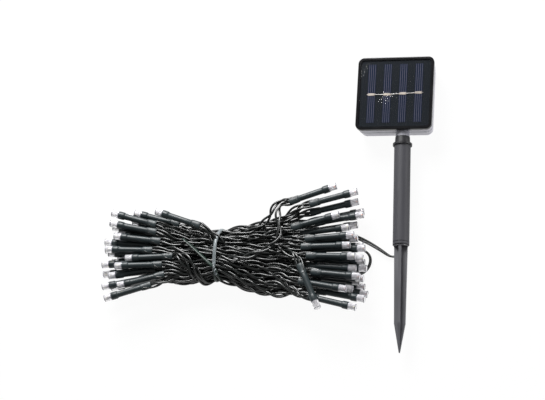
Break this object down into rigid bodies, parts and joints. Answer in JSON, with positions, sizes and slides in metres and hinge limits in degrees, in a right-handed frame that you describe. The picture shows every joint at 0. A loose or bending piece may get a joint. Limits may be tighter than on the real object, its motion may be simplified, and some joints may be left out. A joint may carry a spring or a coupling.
{
  "type": "solar string lights",
  "caption": "Solar panel head on a ground stake, with a lead to a tied hank of small LED lamps on a thin twisted cord, for lighting a garden after dark.",
  "frame": {"origin": "centre of the head's back face, which lies on the floor", "axes": "+Z out of the panel, +Y to the top of the head; the stake runs towards -Y and the hank lies at -X"},
  "size_m": [0.2914, 0.2669, 0.0321],
  "materials": {
    "cover_black": "glossy black moulding",
    "panel_black": "black backing board",
    "cell_blue": "dark blue crystalline silicon",
    "ribbon_silver": "tinned copper ribbon",
    "solder_cream": "cream solder tab",
    "resin_clear": "clear potting resin",
    "case_clear": "translucent grey-white moulding",
    "gasket_black": "black silicone",
    "screw_steel": "zinc plated",
    "pcb_green": "solder-masked fibreglass",
    "component_black": "moulded component bodies",
    "ferrite": "ferrite drum",
    "battery_wrap": "plastic sleeve",
    "cradle_white": "white moulding",
    "contact_nickel": "nickel-plated spring steel",
    "button_rubber": "soft button",
    "hookup_wire": "PVC insulation",
    "stake_grey": "satin dark grey moulding",
    "cord_green": "green-black glossy PVC",
    "tie_green": "plastic-coated wire tie",
    "holder_green": "dark green satin moulding",
    "led_clear": "clear epoxy",
    "led_metal": "lead frame"
  },
  "bodies": {
    "head": {"top_cover": "cover_black", "panel_board": "panel_black", "solar_cell_1": "cell_blue", "solar_cell_2": "cell_blue", "solar_cell_3": "cell_blue", "solar_cell_4": "cell_blue", "cell_ribbon": "ribbon_silver", "solder_tabs": "solder_cream", "panel_resin": "resin_clear", "upper_shell": "case_clear", "lower_shell": "case_clear", "case_gasket": "gasket_black", "stake_socket": "case_clear", "case_screw_1": "screw_steel", "case_screw_2": "screw_steel", "case_screw_3": "screw_steel", "case_screw_4": "screw_steel", "circuit_board": "pcb_green", "control_chip": "component_black", "boost_inductor": "ferrite", "board_components": "component_black", "battery_cell": "battery_wrap", "battery_cradle": "cradle_white", "battery_contact": "contact_nickel", "battery_spring": "contact_nickel", "power_switch": "component_black", "mode_switch": "component_black", "panel_wires": "hookup_wire", "battery_wires": "hookup_wire", "strain_relief": "holder_green", "lead_cable": "cord_green", "light_string_hank": "cord_green", "twist_tie": "tie_green", "lamp_tails_left": "holder_green", "lamp_holders_left": "holder_green", "led_lenses_left": "led_clear", "led_frames_left": "led_metal", "lamp_tails_right": "holder_green", "lamp_holders_right": "holder_green", "led_lenses_right": "led_clear", "led_frames_right": "led_metal"},
    "power_button": {"power_button": "button_rubber"},
    "mode_button": {"mode_button": "button_rubber"},
    "stake_collar": {"stake_collar": "stake_grey"},
    "stake_tube": {"stake_tube": "stake_grey"},
    "ground_spike": {"ground_spike": "stake_grey"}
  },
  "joints": [
    {"name": "collar_release", "type": "slide", "parent": "head", "child": "stake_collar", "axis": [0.0297, -0.9996, 0], "range_m": [0, 0.013]},
    {"name": "stake_swivel", "type": "hinge", "parent": "stake_collar", "child": "stake_tube", "pos_m": [0.00789, -0.06399, 0.013], "axis": [0.0297, -0.9996, 0], "continuous": true},
    {"name": "spike_release", "type": "slide", "parent": "stake_tube", "child": "ground_spike", "axis": [0.0297, -0.9996, 0], "range_m": [0, 0.013]},
    {"name": "power_press", "type": "slide", "parent": "head", "child": "power_button", "axis": [0, 0, 1], "range_m": [0, 0.0006], "stiffness_N_per_m": 400},
    {"name": "mode_press", "type": "slide", "parent": "head", "child": "mode_button", "axis": [0, 0, 1], "range_m": [0, 0.0006], "stiffness_N_per_m": 400}
  ]
}
